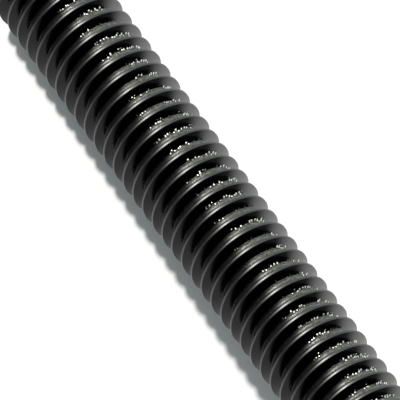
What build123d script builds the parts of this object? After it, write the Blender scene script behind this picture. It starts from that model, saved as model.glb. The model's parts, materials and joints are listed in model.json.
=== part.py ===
from build123d import *
from math import atan, cos, radians, sin, tan
import os

os.makedirs("parts", exist_ok=True)

# A slotted cheese head screw with an M4 thread, 30 mm under the head. The thread is as fine as
# 0.7 mm, and the shank stands for it at the diameter over its crests. The screw lies on its side
# on z = 0, where the rims of the head and of the last crest touch, with its head towards -X and
# the origin under the middle of its box. Sizes are in millimetres and degrees.

# Head
head_diameter = 7.0
head_height = 2.6
head_draft = 4.0
head_edge_radius = 0.4
slot_width = 1.2
slot_depth = 1.2

# Shank. The neck keeps the diameter of the blank, which the rolling dies don't reach.
screw_length = 30.0
neck_diameter = 3.45
neck_length = 0.85
neck_cone_angle = 45.0
under_head_radius = 0.25
end_diameter = 2.9
end_chamfer_angle = 45.0

# Thread, over its crests
thread_diameter = 3.92

# Worked out from the sizes above
head_radius = head_diameter / 2
head_top_radius = head_radius - head_height * tan(radians(head_draft))
neck_radius = neck_diameter / 2
crest_radius = thread_diameter / 2
end_radius = end_diameter / 2
neck_cone_length = (crest_radius - neck_radius) / tan(radians(neck_cone_angle))
end_chamfer_length = (crest_radius - end_radius) / tan(radians(end_chamfer_angle))

# The neck's cone ends where the thread starts, and the end's chamfer starts where it ends.
thread_start = neck_length + neck_cone_length
thread_end = screw_length - end_chamfer_length


# The screw in its own frame: z runs from the middle of the bearing face, under the head, to the
# end, and the slot runs along y.
with BuildPart() as upright:
    # Head, neck, shank and end, turned from one outline
    with BuildSketch(Plane.XZ):
        with BuildLine():
            Polyline(
                (0, -head_height),
                (head_top_radius, -head_height),
                (head_radius, 0),
                (neck_radius, 0),
                (neck_radius, neck_length),
                (crest_radius, thread_start),
                (crest_radius, thread_end),
                (end_radius, screw_length),
                (0, screw_length),
                close=True,
            )
        make_face()
    revolve(axis=Axis.Z)

    # Rounded top edge of the head, and the fillet between the neck and the bearing face
    circles = upright.edges().filter_by(GeomType.CIRCLE).sort_by(Axis.Z)
    fillet(circles[0], radius=head_edge_radius)
    neck_circles = circles.filter_by(lambda edge: abs(edge.radius - neck_radius) < 1e-6)
    fillet(neck_circles[0], radius=under_head_radius)

    # Slot across the head
    with BuildSketch(Plane.XY.offset(-head_height)):
        Rectangle(slot_width, 2 * head_diameter)
    extrude(amount=slot_depth, mode=Mode.SUBTRACT)

# Lying on its side, the screw tilts until the end of the thread comes down to the surface.
tilt = atan((head_radius - crest_radius) / thread_end)
head_reach = (
    (head_height - head_edge_radius) * cos(tilt)
    + (head_top_radius - head_edge_radius) * sin(tilt)
    + head_edge_radius
)
end_reach = screw_length * cos(tilt) + end_radius * sin(tilt)
lying = Plane(
    Vector((head_reach - end_reach) / 2, 0, head_radius * cos(tilt)),
    x_dir=Vector(-sin(tilt), 0, -cos(tilt)),
    z_dir=Vector(cos(tilt), 0, -sin(tilt)),
)
with BuildPart() as screw:
    with Locations(lying):
        add(upright.part)

screw.part.label = "screw"
export_step(screw.part, "parts/screw.step")
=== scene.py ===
"""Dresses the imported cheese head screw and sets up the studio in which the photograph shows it.

The screw lies on its side on a pale table with its head towards -X. The photograph is a close view of
the thread from above, with the tip beyond its top left corner and the head beyond its bottom right one.
Sizes of the screw are in millimetres and angles in degrees, as in the part's source, and the finished
mesh is in metres.
"""

import json
import logging
import math
from dataclasses import dataclass, field
from enum import Enum

import bmesh
import bpy
import numpy as np
from mathutils import Matrix, Vector


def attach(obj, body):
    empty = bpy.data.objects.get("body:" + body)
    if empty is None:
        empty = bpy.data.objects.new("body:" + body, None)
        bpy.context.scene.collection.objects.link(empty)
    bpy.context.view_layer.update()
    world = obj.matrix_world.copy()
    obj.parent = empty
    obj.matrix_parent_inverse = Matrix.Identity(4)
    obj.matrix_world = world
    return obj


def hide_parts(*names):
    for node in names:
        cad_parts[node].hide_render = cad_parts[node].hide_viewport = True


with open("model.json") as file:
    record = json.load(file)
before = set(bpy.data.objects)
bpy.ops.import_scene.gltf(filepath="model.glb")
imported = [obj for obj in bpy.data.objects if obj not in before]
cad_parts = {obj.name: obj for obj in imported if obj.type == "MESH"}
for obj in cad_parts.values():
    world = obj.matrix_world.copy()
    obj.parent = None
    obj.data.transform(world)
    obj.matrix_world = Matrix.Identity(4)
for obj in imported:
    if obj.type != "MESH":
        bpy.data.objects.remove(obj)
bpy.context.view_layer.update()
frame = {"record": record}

MILLIMETRE = 0.001
BODY = "root"
NODE = "screw"

log = logging.getLogger("scene")


class Zone(Enum):
    """The parts of the surface that the texture tells apart, by the place across the pitch they take."""

    PLAIN = 0.0
    ROOT = 0.5


@dataclass(frozen=True)
class Placement:
    """Where the screw's own frame lies in the row frame.

    The screw's z runs from the middle of the bearing face to the tip, and its x points to the table.
    """

    record: dict
    thread_mount_distance: float = 15.0

    def matrix(self) -> Matrix:
        """Reads the axis from the record's thread mount.

        Returns:
            The matrix from the screw's frame in millimetres to the row frame in metres.
        """
        mount = next(m for m in self.record["mounts"] if m["name"] == "thread")
        along = Vector(mount["axis"]).normalized()
        across = Vector((0.0, 1.0, 0.0))
        down = across.cross(along)
        middle = Vector(mount["pos_m"]) - along * self.thread_mount_distance * MILLIMETRE
        turned = Matrix((down, across, along)).transposed().to_4x4()
        return Matrix.Translation(middle) @ turned @ Matrix.Scale(MILLIMETRE, 4)


@dataclass(frozen=True)
class ThreadForm:
    """The section of the thread, with a rounded root and slightly rounded crest edges."""

    diameter: float = 3.92
    pitch: float = 0.7
    angle: float = 60.0
    depth_share: float = 0.5677
    crest_share: float = 0.125
    root_round_share: float = 0.19
    crest_round: float = 0.014
    root_strips: int = 6
    crest_round_strips: int = 3
    support_share: float = 0.06

    @property
    def crest_radius(self) -> float:
        """Radius over the crests."""
        return self.diameter / 2

    @property
    def depth(self) -> float:
        """Depth of the groove below the crests."""
        return self.depth_share * self.pitch

    @property
    def root_radius(self) -> float:
        """Radius at the bottom of the groove."""
        return self.crest_radius - self.depth

    @property
    def slope(self) -> float:
        """How far a flank goes along the screw for each millimetre that it rises."""
        return math.tan(math.radians(self.angle / 2))

    @property
    def mouth(self) -> float:
        """Half the width of the groove at the crests."""
        return self.pitch * (1 - self.crest_share) / 2

    @property
    def root_round(self) -> float:
        """Radius of the rounded root."""
        return self.root_round_share * self.pitch

    @property
    def crest_tangent(self) -> float:
        """How far along the crest its rounded edge reaches."""
        return self.crest_round * math.tan(math.radians(90 - self.angle / 2) / 2)

    def rise(self, offset: np.ndarray) -> np.ndarray:
        """Gives the section's height above the bottom of the groove.

        Args:
            offset: Distances along the screw from the middle of the groove.

        Returns:
            The heights, up to the depth of the groove.
        """
        far = np.abs(offset)
        flank = self.depth - (self.mouth - far) / self.slope
        inside = np.minimum(far, self.root_round)
        root = self.root_round - np.sqrt(self.root_round**2 - inside**2)
        tangent = self.root_round * math.cos(math.radians(self.angle / 2))
        low = np.where(far < tangent, root, flank)
        centre = self.mouth + self.crest_tangent
        beside = np.clip(centre - far, 0.0, self.crest_round)
        edge = self.depth - self.crest_round + np.sqrt(self.crest_round**2 - beside**2)
        starts = self.mouth - self.crest_tangent * math.sin(math.radians(self.angle / 2))
        return np.where(far < starts, low, edge)

    def offsets(self) -> np.ndarray:
        """Places the rows of the mesh across one pitch, from the middle of one crest to the next.

        The row just below the crest's edge keeps the shading of the flanks flat.

        Returns:
            The rows' distances from the middle of the groove, without the last, which starts the next.
        """
        half = math.radians(90 - self.angle / 2)
        root = [
            self.root_round * math.sin(half * (2 * step / self.root_strips - 1))
            for step in range(self.root_strips + 1)
        ]
        centre = self.mouth + self.crest_tangent
        edge = [
            centre - self.crest_round * math.sin(half * step / self.crest_round_strips)
            for step in range(self.crest_round_strips + 1)
        ]
        support = edge[-1] + (root[-1] - edge[-1]) * self.support_share
        side = edge + [support]
        rows = [-self.pitch / 2] + [-place for place in side] + root + side[::-1]
        return np.array(rows)


@dataclass
class Head:
    """The slotted cheese head with the fillet and the neck under it."""

    diameter: float = 7.0
    height: float = 2.6
    draft: float = 4.0
    edge_radius: float = 0.4
    rim_radius: float = 0.06
    slot_width: float = 1.2
    slot_depth: float = 1.2
    slot_mouth_radius: float = 0.06
    slot_corner_radius: float = 0.12
    neck_diameter: float = 3.45
    under_head_radius: float = 0.25
    neck_joint: float = 0.6
    inner_ring_share: float = 0.5
    arc_steps: int = 8

    def outline(self) -> list[tuple[float, float]]:
        """Traces half of the head's section from the middle of its top to the neck.

        Returns:
            Points as a radius and a distance from the bearing face.
        """
        draft = math.radians(self.draft)
        radius = self.diameter / 2
        neck = self.neck_diameter / 2
        top = -self.height
        edge_height = top + self.edge_radius
        edge_middle = radius + edge_height * math.tan(draft) - self.edge_radius / math.cos(draft)
        points = [(0.0, top), (edge_middle * self.inner_ring_share, top)]
        points += arc((edge_middle, edge_height), self.edge_radius, -90, -self.draft, self.arc_steps)
        rim_middle = radius - self.rim_radius / math.cos(draft) - self.rim_radius * math.tan(draft)
        rim_centre = (rim_middle, -self.rim_radius)
        points += arc(rim_centre, self.rim_radius, -self.draft, 90, self.arc_steps // 2)
        fillet_middle = (neck + self.under_head_radius, self.under_head_radius)
        points += arc(fillet_middle, self.under_head_radius, -90, -180, self.arc_steps)
        points.append((neck, self.neck_joint))
        return points

    def slot_outline(self) -> list[tuple[float, float]]:
        """Traces the section of the space that the slot takes, a little past the top of the head.

        Returns:
            Points across the slot and along the screw, once round.
        """
        half = self.slot_width / 2
        top = -self.height
        floor = top + self.slot_depth
        corner = (half - self.slot_corner_radius, floor - self.slot_corner_radius)
        mouth = (half + self.slot_mouth_radius, top + self.slot_mouth_radius)
        side = arc(corner, self.slot_corner_radius, 90, 0, self.arc_steps // 2)
        side += arc(mouth, self.slot_mouth_radius, 180, 270, self.arc_steps // 2)
        side.append((mouth[0], top - self.slot_depth))
        return side + [(-across, along) for across, along in reversed(side)]

    def build(self, columns: int) -> bpy.types.Mesh:
        """Turns the head and cuts the slot out of it.

        Args:
            columns: How many points go round, the same as on the thread.

        Returns:
            The head's mesh in the screw's frame, open at the neck.
        """
        solid = bmesh.new()
        rings = lathe(solid, self.outline(), columns)
        solid.faces.new(rings[-1])
        turned = keep(solid, "turned_head")
        cutter = keep(prism(self.slot_outline(), self.diameter), "slot_space")
        cut = turned.modifiers.new("slot", "BOOLEAN")
        cut.operation = "DIFFERENCE"
        cut.solver = "EXACT"
        cut.object = cutter
        graph = bpy.context.evaluated_depsgraph_get()
        mesh = bpy.data.meshes.new_from_object(turned.evaluated_get(graph))
        bpy.data.objects.remove(turned)
        bpy.data.objects.remove(cutter)
        return mesh


@dataclass
class Shank:
    """The threaded shank, with the groove's run-out at the neck and the chamfer at the end.

    The spare turns are those that the grid has past the joint, the end and the thread's start.
    """

    form: ThreadForm = field(default_factory=ThreadForm)
    length: float = 30.0
    neck_diameter: float = 3.45
    neck_length: float = 0.85
    end_diameter: float = 2.9
    joint: float = 0.6
    runout_turns: float = 1.0
    spare_at_joint: float = 1.5
    spare_at_end: float = 0.5
    spare_at_start: float = 0.5
    inner_ring_share: float = 0.5
    columns: int = 120

    @property
    def thread_start(self) -> float:
        """Where the cone from the neck reaches the crests."""
        return self.neck_length + self.form.crest_radius - self.neck_diameter / 2

    @property
    def thread_end(self) -> float:
        """Where the chamfer of the end starts."""
        return self.length - (self.form.crest_radius - self.end_diameter / 2)

    @property
    def groove_start(self) -> float:
        """Where the middle of the groove's first full turn starts, half a pitch round the last crest."""
        pitch = self.form.pitch
        last = self.thread_end - self.form.crest_share * pitch / 2 - pitch / 2
        return last - int((last - self.thread_start) / pitch - self.spare_at_start) * pitch

    def turned_radius(self, distance: np.ndarray) -> np.ndarray:
        """Gives the radius that the blank has before the thread.

        Args:
            distance: Distances from the bearing face.

        Returns:
            The radius of the neck, the cone, the shank or the chamfer there.
        """
        neck = self.neck_diameter / 2
        cone = np.maximum(neck, neck + distance - self.neck_length)
        chamfer = self.end_diameter / 2 + self.length - distance
        return np.minimum(np.minimum(cone, chamfer), self.form.crest_radius)

    def build(self, bm: bmesh.types.BMesh) -> None:
        """Lays a grid that follows the helix over the shank and closes it at the end.

        Each row keeps its place on the thread's section as it goes round, so that a turn's last column
        meets the first column of the next turn. Rows past the neck or the end are gathered into a ring.

        Args:
            bm: The mesh that takes the shank, with a layer for texture coordinates.
        """
        pitch = self.form.pitch
        offsets = self.form.offsets()
        rows = len(offsets)
        first = math.floor((self.joint - self.groove_start) / pitch - self.spare_at_joint)
        last = math.ceil((self.length - self.groove_start) / pitch + self.spare_at_end)
        turn = np.repeat(np.arange(first, last + 1), rows)[:, None] + np.zeros(self.columns)
        place = np.tile(offsets, last + 1 - first)[:, None] + np.zeros(self.columns)
        share = np.arange(self.columns)[None, :] / self.columns
        turns = turn + share
        distance = self.groove_start + turns * pitch + place
        lift = np.clip(-turns / self.runout_turns, 0.0, 1.0) * self.form.depth
        cut = self.form.root_radius + self.form.rise(place) + lift
        inside = np.clip(distance, self.joint, self.length)
        radius = np.minimum(cut, self.turned_radius(inside))
        angle = 2 * np.pi * share + np.zeros_like(radius)

        points = np.stack([radius * np.cos(angle), radius * np.sin(angle), inside], axis=-1)
        near = ring(bm, self.neck_diameter / 2, self.joint, self.columns)
        end = ring(bm, self.end_diameter / 2, self.length, self.columns)
        grid = []
        for row in range(points.shape[0]):
            line = []
            for column in range(self.columns):
                if distance[row, column] <= self.joint:
                    line.append(near[column])
                elif distance[row, column] >= self.length:
                    line.append(end[column])
                else:
                    line.append(bm.verts.new(points[row, column]))
            grid.append(line)

        uv = bm.loops.layers.uv.verify()
        along = 2 * math.pi * self.form.crest_radius
        across = offsets / pitch + Zone.ROOT.value
        for row in range(len(grid) - rows - 1):
            index = row % rows
            turn_here = first + row // rows
            low = across[index]
            high = across[index + 1] if index + 1 < rows else 1.0
            for column in range(self.columns):
                corners = [
                    (grid_corner(grid, row, column, rows), column, low),
                    (grid_corner(grid, row, column + 1, rows), column + 1, low),
                    (grid_corner(grid, row + 1, column + 1, rows), column + 1, high),
                    (grid_corner(grid, row + 1, column, rows), column, high),
                ]
                unique = {corner[0]: corner for corner in corners}
                if len(unique) < 3:
                    continue
                face = bm.faces.new(list(unique))
                for loop in face.loops:
                    _, at, height = unique[loop.vert]
                    loop[uv].uv = (along * (turn_here + at / self.columns), height)
        inner_radius = self.end_diameter / 2 * self.inner_ring_share
        inner = ring(bm, inner_radius, self.length, self.columns)
        bridge(bm, end, inner)
        centre = bm.verts.new((0.0, 0.0, self.length))
        for column in range(self.columns):
            bm.faces.new((inner[column], inner[(column + 1) % self.columns], centre))


def grid_corner(grid: list, row: int, column: int, rows: int) -> bmesh.types.BMVert:
    """Looks up a point of the helical grid, where a full turn moves on by one pitch of rows.

    Args:
        grid: Rows of points.
        row: The row.
        column: The column, up to one past the last.
        rows: Rows to a pitch.

    Returns:
        The point.
    """
    columns = len(grid[0])
    return grid[row + rows * (column // columns)][column % columns]


def arc(
    middle: tuple[float, float], radius: float, start: float, stop: float, steps: int
) -> list[tuple[float, float]]:
    """Divides an arc.

    Args:
        middle: Its centre.
        radius: Its radius.
        start: The angle at which it starts, in degrees.
        stop: The angle at which it stops.
        steps: How many parts it is divided into.

    Returns:
        Its points, with both ends.
    """
    angles = [math.radians(start + (stop - start) * step / steps) for step in range(steps + 1)]
    return [(middle[0] + radius * math.cos(a), middle[1] + radius * math.sin(a)) for a in angles]


def ring(bm: bmesh.types.BMesh, radius: float, distance: float, columns: int) -> list:
    """Makes the points of a circle round the screw's axis.

    Args:
        bm: The mesh that takes them.
        radius: The circle's radius.
        distance: Its distance from the bearing face.
        columns: How many points it has.

    Returns:
        The points in order.
    """
    steps = [2 * math.pi * column / columns for column in range(columns)]
    return [bm.verts.new((radius * math.cos(a), radius * math.sin(a), distance)) for a in steps]


def bridge(bm: bmesh.types.BMesh, lower: list, upper: list) -> None:
    """Joins two rings of points with a band of faces.

    Args:
        bm: The mesh that holds them.
        lower: The ring that the band starts from.
        upper: The ring that it ends at.
    """
    columns = len(lower)
    for column in range(columns):
        beside = (column + 1) % columns
        bm.faces.new((lower[column], lower[beside], upper[beside], upper[column]))


def lathe(bm: bmesh.types.BMesh, outline: list[tuple[float, float]], columns: int) -> list:
    """Turns an outline that starts on the axis round it.

    Args:
        bm: The mesh that takes the surface.
        outline: Points as a radius and a distance along the axis.
        columns: How many points go round.

    Returns:
        The rings of points, from the second point of the outline on.
    """
    rings = [ring(bm, radius, distance, columns) for radius, distance in outline[1:]]
    centre = bm.verts.new((0.0, 0.0, outline[0][1]))
    for column in range(columns):
        bm.faces.new((centre, rings[0][(column + 1) % columns], rings[0][column]))
    for lower, upper in zip(rings, rings[1:]):
        bridge(bm, lower, upper)
    return rings


def prism(outline: list[tuple[float, float]], length: float) -> bmesh.types.BMesh:
    """Draws an outline out along the screw's y, to both sides.

    Args:
        outline: Points across and along the screw, once round.
        length: How far it reaches to each side.

    Returns:
        The closed prism.
    """
    bm = bmesh.new()
    near = [bm.verts.new((across, -length, along)) for across, along in outline]
    far = [bm.verts.new((across, length, along)) for across, along in outline]
    bridge(bm, near, far)
    bm.faces.new(near)
    bm.faces.new(list(reversed(far)))
    bmesh.ops.recalc_face_normals(bm, faces=bm.faces)
    return bm


def keep(bm: bmesh.types.BMesh, name: str) -> bpy.types.Object:
    """Turns a mesh in the making into an object of the scene.

    Args:
        bm: The mesh, which is freed.
        name: The object's name.

    Returns:
        The object.
    """
    mesh = bpy.data.meshes.new(name)
    bm.to_mesh(mesh)
    bm.free()
    made = bpy.data.objects.new(name, mesh)
    bpy.context.scene.collection.objects.link(made)
    return made


class Nodes:
    """A short way to add the nodes of a material or a world and to join them."""

    def __init__(self, tree: bpy.types.NodeTree) -> None:
        """Empties a node tree.

        Args:
            tree: The tree that is filled.
        """
        self.tree = tree
        tree.nodes.clear()

    def add(self, kind: str, inputs: dict | None = None, **settings: object) -> bpy.types.Node:
        """Adds a node.

        Args:
            kind: The node's type, without its ShaderNode prefix.
            inputs: Values for its sockets, or sockets to link to them, by name or place.
            settings: Values for its own properties.

        Returns:
            The node.
        """
        node = self.tree.nodes.new("ShaderNode" + kind)
        for name, value in settings.items():
            setattr(node, name, value)
        for name, value in (inputs or {}).items():
            if isinstance(value, bpy.types.NodeSocket):
                self.tree.links.new(value, node.inputs[name])
            else:
                node.inputs[name].default_value = value
        return node

    def math(self, operation: str, first: object, second: object = 0.0, third: object = 0.0) -> object:
        """Adds a node that works on numbers.

        Args:
            operation: What it does.
            first: Its first number or socket.
            second: Its second number or socket.
            third: Its third number or socket.

        Returns:
            The socket with the result.
        """
        inputs = {0: first, 1: second, 2: third}
        return self.add("Math", inputs, operation=operation).outputs[0]

    def blend(self, share: object, first: object, second: object) -> object:
        """Adds a node that goes from one colour to another.

        Args:
            share: The socket with the second colour's share.
            first: The first colour or its socket.
            second: The second colour or its socket.

        Returns:
            The socket with the colour.
        """
        node = self.add("Mix", {0: share}, data_type="RGBA")
        for place, colour in ((6, first), (7, second)):
            if isinstance(colour, bpy.types.NodeSocket):
                self.tree.links.new(colour, node.inputs[place])
            else:
                node.inputs[place].default_value = (*colour, 1.0)
        return node.outputs[2]

    def blend_numbers(self, share: object, first: object, second: object) -> object:
        """Adds a node that goes from one number to another.

        Args:
            share: The socket with the second number's share.
            first: The first number or its socket.
            second: The second number or its socket.

        Returns:
            The socket with the number.
        """
        return self.add("Mix", {0: share, 2: first, 3: second}, data_type="FLOAT").outputs[0]

    def ramp(self, value: object, low: float, high: float, start: float, stop: float) -> object:
        """Adds a smooth step from one value to another.

        Args:
            value: The socket that it follows.
            low: Where the step begins.
            high: Where the step ends.
            start: The result before the step.
            stop: The result after it.

        Returns:
            The socket with the result.
        """
        inputs = {"Value": value, "From Min": low, "From Max": high, "To Min": start, "To Max": stop}
        return self.add("MapRange", inputs, interpolation_type="SMOOTHSTEP").outputs[0]


@dataclass(frozen=True)
class BlackOxide:
    """Glossy black oxide on steel, bare and rough where the dies left the thread's root lumpy.

    The side of a groove that faces the tip is scuffed and dull. The root's pale streaked colour is
    painted mostly on the side of the screw that faces the brighter light, which is painted light: that
    side of the root reads paler, and elsewhere the root is nearly as black as the flanks. Lengths are in
    millimetres.
    A pair of numbers is where a smooth step begins and ends.
    """

    flank_colour: tuple[float, float, float] = (0.0004, 0.0004, 0.0004)
    root_colour: tuple[float, float, float] = (0.008, 0.008, 0.005)
    worn_colour: tuple[float, float, float] = (0.105, 0.105, 0.074)
    bead_colour: tuple[float, float, float] = (0.95, 0.95, 0.86)
    flank_roughness: float = 0.16
    scuffed_roughness: float = 0.60
    crest_roughness: float = 0.40
    root_roughness: float = 0.40
    bead_roughness: float = 0.50
    flank_gloss: float = 0.03
    polished_gloss: float = 0.50
    waxed_gloss: float = 0.09
    polished_side: float = 0.78
    waxed_side: float = 0.20
    side_reach: float = 0.20
    side_blend: float = 0.08
    scuffed_gloss: float = 0.05
    crest_gloss: float = 0.42
    root_gloss: float = 0.60
    refraction: float = 1.75
    root_reach: float = 0.165
    root_blend: float = 0.03
    scuffed_blend: float = 0.06
    crest_reach: float = 0.437
    crest_blend: float = 0.01
    turn_length: float = 12.315
    pitch: float = 0.7
    bead_middle: float = 0.15
    bead_reach: float = 0.09
    bead_stretch: float = 1.6
    bead_spacing: float = 0.15
    bead_height: float = 0.085
    bead_shift: float = 0.35
    bead_scatter: float = 0.7
    bead_profile: tuple[float, float] = (0.05, 0.48)
    bead_kinds: tuple[float, float] = (0.1, 0.5)
    bead_full_share: float = 0.7
    bare_bead: tuple[float, float] = (0.06, 0.35)
    string_length: float = 2.5
    string_detail: float = 2.0
    string_edge: tuple[float, float] = (0.46, 0.56)
    between_strings: float = 0.13
    # Painted light: where round the screw the root keeps its pale colour, on the side that faces the
    # brighter light, and how little of it is left on the shaded side.
    lit_side: float = 0.565
    lit_side_reach: float = 0.135
    lit_side_full_share: float = 0.5
    shaded_side_share: float = 0.06
    streak_length: float = 0.18
    streak_width: float = 0.055
    streak_height: float = 0.022
    streak_detail: float = 3.0
    worn_streak: tuple[float, float] = (0.38, 0.64)
    lip_height: float = 0.012
    lip_inside: float = 0.02
    lip_outside: float = 0.01
    grain_size: float = 0.05
    grain_height: float = 0.0003
    grain_detail: float = 2.0

    def beads(self, nodes: Nodes, along: object, across: object, lit_side: object) -> object:
        """Adds the nodes that place the beads, in strings at the edge of the root on one side.

        Args:
            nodes: The material's nodes.
            along: The socket with the distance along the helix.
            across: The socket with the place across the pitch.
            lit_side: The socket that is 1 on that side of the screw.

        Returns:
            The socket with the beads' relief from 0 to 1.
        """
        middle = Zone.ROOT.value + self.bead_middle
        scale = self.pitch * self.bead_stretch / self.bead_spacing
        cells = nodes.add(
            "TexVoronoi",
            {
                "Vector": nodes.add(
                    "CombineXYZ",
                    {
                        0: nodes.math("MULTIPLY", along, 1 / self.bead_spacing),
                        1: nodes.math("MULTIPLY_ADD", across, scale, self.bead_shift - middle * scale),
                    },
                ).outputs[0],
                "Scale": 1.0,
                "Randomness": self.bead_scatter,
            },
            feature="F1",
            voronoi_dimensions="2D",
        )
        lumps = nodes.ramp(cells.outputs["Distance"], *self.bead_profile, 1.0, 0.0)
        kinds = nodes.add("SeparateXYZ", {0: cells.outputs["Color"]}).outputs[0]
        sizes = nodes.ramp(kinds, *self.bead_kinds, 0.0, 1.0)
        patches = nodes.add(
            "TexNoise",
            {
                "W": nodes.math("MULTIPLY", along, 1 / self.string_length),
                "Scale": 1.0,
                "Detail": self.string_detail,
            },
            noise_dimensions="1D",
        ).outputs[0]
        strings = nodes.ramp(patches, *self.string_edge, self.between_strings, 1.0)
        beside = nodes.math("ABSOLUTE", nodes.math("SUBTRACT", across, middle))
        full = self.bead_reach * self.bead_full_share
        near = nodes.ramp(beside, full, self.bead_reach, 1.0, 0.0)
        relief = nodes.math("MULTIPLY", lumps, sizes)
        for share in (strings, lit_side, near):
            relief = nodes.math("MULTIPLY", relief, share)
        return relief

    def side_gloss(self, nodes: Nodes, turn: object) -> object:
        """Adds the nodes for the gloss of the flanks, which two sides of the screw have kept.

        Args:
            nodes: The material's nodes.
            turn: The socket with the place round the screw, from 0 to 1.

        Returns:
            The socket with the gloss.
        """
        gloss = self.flank_gloss
        near = self.side_reach - self.side_blend
        sides = ((self.polished_side, self.polished_gloss), (self.waxed_side, self.waxed_gloss))
        for middle, level in sides:
            off = nodes.math("ABSOLUTE", nodes.math("SUBTRACT", turn, middle))
            gloss = nodes.math("ADD", nodes.ramp(off, near, self.side_reach, level, 0.0), gloss)
        return gloss

    def material(self) -> bpy.types.Material:
        """Builds the finish from nodes.

        Returns:
            The material.
        """
        made = bpy.data.materials.new("black_oxide")
        made.use_nodes = True
        nodes = Nodes(made.node_tree)
        place = nodes.add("SeparateXYZ", {0: nodes.add("TexCoord").outputs["UV"]})
        along = place.outputs[0]
        across = place.outputs[1]
        from_root = nodes.math("ABSOLUTE", nodes.math("SUBTRACT", across, Zone.ROOT.value))
        turn = nodes.math("FRACT", nodes.math("MULTIPLY", along, 1 / self.turn_length))
        # Painted light: a mask that is 1 on the side of the screw that faces the brighter light and
        # small elsewhere, so the root is painted paler where the light falls.
        off_side = nodes.math("ABSOLUTE", nodes.math("SUBTRACT", turn, self.lit_side))
        full = self.lit_side_reach * self.lit_side_full_share
        lit_side = nodes.ramp(off_side, full, self.lit_side_reach, 1.0, self.shaded_side_share)
        bottom = nodes.ramp(from_root, self.root_reach - self.root_blend, self.root_reach, 1.0, 0.0)
        root = nodes.math("MULTIPLY", bottom, lit_side)
        crest = nodes.ramp(from_root, self.crest_reach - self.crest_blend, self.crest_reach, 0.0, 1.0)
        end = Zone.ROOT.value + self.root_reach
        facing_tip = nodes.ramp(across, end - self.scuffed_blend, end, 1.0, 0.0)
        bead = self.beads(nodes, along, across, lit_side)
        streaks = nodes.add(
            "TexNoise",
            {
                "Vector": nodes.add(
                    "CombineXYZ",
                    {
                        0: nodes.math("MULTIPLY", along, 1 / self.streak_length),
                        1: nodes.math("MULTIPLY", across, self.pitch / self.streak_width),
                    },
                ).outputs[0],
                "Scale": 1.0,
                "Detail": self.streak_detail,
            },
            noise_dimensions="2D",
        ).outputs[0]
        worn = nodes.ramp(streaks, *self.worn_streak, 0.0, 1.0)
        bare = nodes.ramp(bead, *self.bare_bead, 0.0, 1.0)

        grain = nodes.add(
            "TexNoise",
            {
                "Vector": nodes.add("TexCoord").outputs["Object"],
                "Scale": 1 / (self.grain_size * MILLIMETRE),
                "Detail": self.grain_detail,
            },
        ).outputs[0]
        height = nodes.math("MULTIPLY", bead, self.bead_height)
        streaked = nodes.math("MULTIPLY", nodes.math("MULTIPLY", streaks, root), self.streak_height)
        lip_start = self.root_reach - self.lip_inside
        lip_stop = self.root_reach + self.lip_outside
        lip = nodes.ramp(from_root, lip_start, lip_stop, self.lip_height, 0.0)
        height = nodes.math("ADD", nodes.math("ADD", height, streaked), lip)
        height = nodes.math("MULTIPLY_ADD", grain, self.grain_height, height)
        relief = nodes.add("Bump", {"Strength": 1.0, "Distance": MILLIMETRE, "Height": height})

        # The root's pale streaked colour is let in mostly on the lit side. The streaks are the root's
        # random tone, and keeping the colour to that side is painted light.
        root_stain = nodes.blend(worn, self.root_colour, self.worn_colour)
        stained = nodes.blend(root, self.flank_colour, root_stain)
        colour = nodes.blend(bare, stained, self.bead_colour)
        gloss = nodes.blend_numbers(facing_tip, self.side_gloss(nodes, turn), self.scuffed_gloss)
        gloss = nodes.blend_numbers(root, gloss, self.root_gloss)
        gloss = nodes.blend_numbers(crest, gloss, self.crest_gloss)
        rough = nodes.blend_numbers(facing_tip, self.flank_roughness, self.scuffed_roughness)
        rough = nodes.blend_numbers(root, rough, self.root_roughness)
        rough = nodes.blend_numbers(crest, rough, self.crest_roughness)
        rough = nodes.blend_numbers(bare, rough, self.bead_roughness)
        shader = nodes.add(
            "BsdfPrincipled",
            {
                "Base Color": colour,
                "Metallic": bare,
                "Roughness": rough,
                "Specular IOR Level": gloss,
                "IOR": self.refraction,
                "Normal": relief.outputs["Normal"],
            },
        )
        nodes.add("OutputMaterial", {"Surface": shader.outputs[0]})
        return made


@dataclass
class Screw:
    """The whole screw, one piece."""

    placement: Placement
    head: Head = field(default_factory=Head)
    shank: Shank = field(default_factory=Shank)
    finish: BlackOxide = field(default_factory=BlackOxide)
    smooth_angle: float = 32.0
    weld: float = 1e-5

    def build(self) -> bpy.types.Object:
        """Joins the head to the shank at the neck.

        Returns:
            The screw in place, which stands for its CAD node.
        """
        bm = bmesh.new()
        uv = bm.loops.layers.uv.new("thread")
        self.shank.build(bm)
        shank_faces = len(bm.faces)
        head = self.head.build(self.shank.columns)
        bm.from_mesh(head)
        bm.faces.ensure_lookup_table()
        joint = self.shank.joint
        added = bm.faces[shank_faces:]
        caps = [f for f in added if all(abs(v.co.z - joint) < self.weld for v in f.verts)]
        bmesh.ops.delete(bm, geom=caps, context="FACES_ONLY")
        at_joint = [v for v in bm.verts if abs(v.co.z - joint) < self.weld]
        bmesh.ops.remove_doubles(bm, verts=at_joint, dist=self.weld)
        bm.faces.ensure_lookup_table()
        for face in bm.faces[shank_faces:]:
            for loop in face.loops:
                loop[uv].uv = (loop.vert.co.x, Zone.PLAIN.value)
        bm.transform(self.placement.matrix())
        for face in bm.faces:
            face.smooth = True
        made = keep(bm, "screw_body")
        made.data.set_sharp_from_angle(angle=math.radians(self.smooth_angle))
        made.data.materials.append(self.finish.material())
        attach(made, BODY)
        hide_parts(NODE)
        log.info("%s: %d faces", made.name, len(made.data.polygons))
        return made


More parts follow.
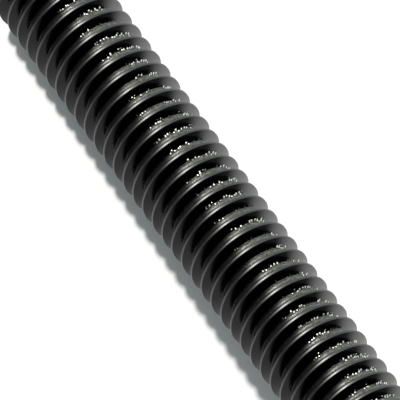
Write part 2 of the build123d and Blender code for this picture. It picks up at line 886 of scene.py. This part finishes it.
@dataclass
class Studio:
    """The pale table, the light round it, the lamp and the camera.

    The size of the table and what the camera sees nearest and farthest are in metres.
    """

    placement: Placement
    table_size: float = 4.0
    table_white: float = 0.82
    table_roughness: float = 0.9
    surroundings: float = 0.54
    surroundings_colour: tuple[float, float, float] = (0.93, 1.0, 1.01)
    bright_side: float = 1.2
    dark_side: float = 0.12
    bright_until: float = -0.1
    dark_from: float = 0.5
    lamp_strength: float = 3.45
    lamp_colour: tuple[float, float, float] = (1.0, 0.99, 0.96)
    lamp_diameter: float = 5.0
    lamp_rise: float = 63.0
    lamp_side: float = -5.0
    camera_heading: float = 31.06
    camera_elevation: float = 58.79
    camera_distance: float = 410.0
    camera_lens: float = 998.0
    sensor_width: float = 36.0
    nearest_seen: float = 0.01
    farthest_seen: float = 10.0
    aim_distance: float = 17.605
    aim_shift: float = 0.03

    def table(self) -> bpy.types.Object:
        """Lays the table under the screw.

        Returns:
            The table, which isn't part of the object.
        """
        bm = bmesh.new()
        bmesh.ops.create_grid(bm, x_segments=1, y_segments=1, size=self.table_size / 2)
        made = keep(bm, "table")
        material = bpy.data.materials.new("pale_table")
        material.use_nodes = True
        shader = material.node_tree.nodes["Principled BSDF"]
        shader.inputs["Base Color"].default_value = (*[self.table_white] * 3, 1.0)
        shader.inputs["Roughness"].default_value = self.table_roughness
        shader.inputs["Specular IOR Level"].default_value = 0.0
        made.data.materials.append(material)
        return made

    def world(self) -> None:
        """Lights the scene evenly from all round, and shows white to the camera."""
        world = bpy.data.worlds.new("surroundings")
        bpy.context.scene.world = world
        world.use_nodes = True
        nodes = Nodes(world.node_tree)
        path = nodes.add("LightPath").outputs
        direction = nodes.add("SeparateXYZ", {0: nodes.add("TexCoord").outputs["Generated"]})
        bright = self.bright_side - self.surroundings
        dark = self.dark_side - self.surroundings
        mirrored = nodes.ramp(direction.outputs[1], self.bright_until, self.dark_from, bright, dark)
        glossy = nodes.math("MULTIPLY_ADD", path["Is Glossy Ray"], mirrored, self.surroundings)
        seen = nodes.math("ADD", path["Is Camera Ray"], path["Is Transmission Ray"])
        strength = nodes.math("MULTIPLY_ADD", seen, 1 - self.surroundings, glossy)
        colour = nodes.blend(seen, self.surroundings_colour, (1.0, 1.0, 1.0))
        light = nodes.add("Background", {"Color": colour, "Strength": strength})
        nodes.add("OutputWorld", {"Surface": light.outputs[0]})

    def lamp(self) -> bpy.types.Object:
        """Hangs the lamp beyond the tip of the screw, so that it lights the crests towards the camera.

        Returns:
            The lamp.
        """
        axes = self.placement.matrix().to_3x3().normalized()
        rise = math.radians(self.lamp_rise)
        side = math.radians(self.lamp_side)
        direction = axes @ Vector(
            (
                -math.sin(rise) * math.cos(side),
                -math.sin(rise) * math.sin(side),
                math.cos(rise),
            )
        )
        light = bpy.data.lights.new("lamp", "SUN")
        light.energy = self.lamp_strength
        light.color = self.lamp_colour
        light.angle = math.radians(self.lamp_diameter)
        made = bpy.data.objects.new("lamp", light)
        made.rotation_mode = "QUATERNION"
        made.rotation_quaternion = direction.to_track_quat("Z", "Y")
        bpy.context.scene.collection.objects.link(made)
        return made

    def camera(self) -> bpy.types.Object:
        """Aims a long lens at the middle of the thread.

        Returns:
            The camera.
        """
        heading = math.radians(self.camera_heading)
        elevation = math.radians(self.camera_elevation)
        back = Vector(
            (
                -math.cos(elevation) * math.cos(heading),
                math.cos(elevation) * math.sin(heading),
                math.sin(elevation),
            )
        )
        frame_to_row = self.placement.matrix()
        turned = back.to_track_quat("Z", "Y")
        right = turned @ Vector((1.0, 0.0, 0.0))
        up = turned @ Vector((0.0, 1.0, 0.0))
        axis = (frame_to_row.to_3x3() @ Vector((0.0, 0.0, 1.0))).normalized()
        in_view = Vector((axis.dot(right), axis.dot(up))).normalized()
        across = right * in_view.y - up * in_view.x
        target = frame_to_row @ Vector((0.0, 0.0, self.aim_distance))
        target += across * self.aim_shift * MILLIMETRE
        lens = bpy.data.cameras.new("camera")
        lens.sensor_width = self.sensor_width
        lens.lens = self.camera_lens
        lens.clip_start = self.nearest_seen
        lens.clip_end = self.farthest_seen
        made = bpy.data.objects.new("camera", lens)
        made.rotation_mode = "QUATERNION"
        made.rotation_quaternion = turned
        made.location = target + back * self.camera_distance * MILLIMETRE
        bpy.context.scene.collection.objects.link(made)
        bpy.context.scene.camera = made
        return made

    def build(self) -> None:
        """Sets the scene up round the screw."""
        made = [self.table()]
        self.world()
        made += [self.lamp(), self.camera()]
        for item in made:
            log.info("%s", item.name)
        bpy.context.scene.view_settings.view_transform = "Standard"


def main() -> None:
    """Builds the screw and the studio."""
    logging.basicConfig(level=logging.INFO, format="%(name)s %(message)s")
    placement = Placement(frame["record"])
    Screw(placement).build()
    Studio(placement).build()


if __name__ == "__main__":
    main()
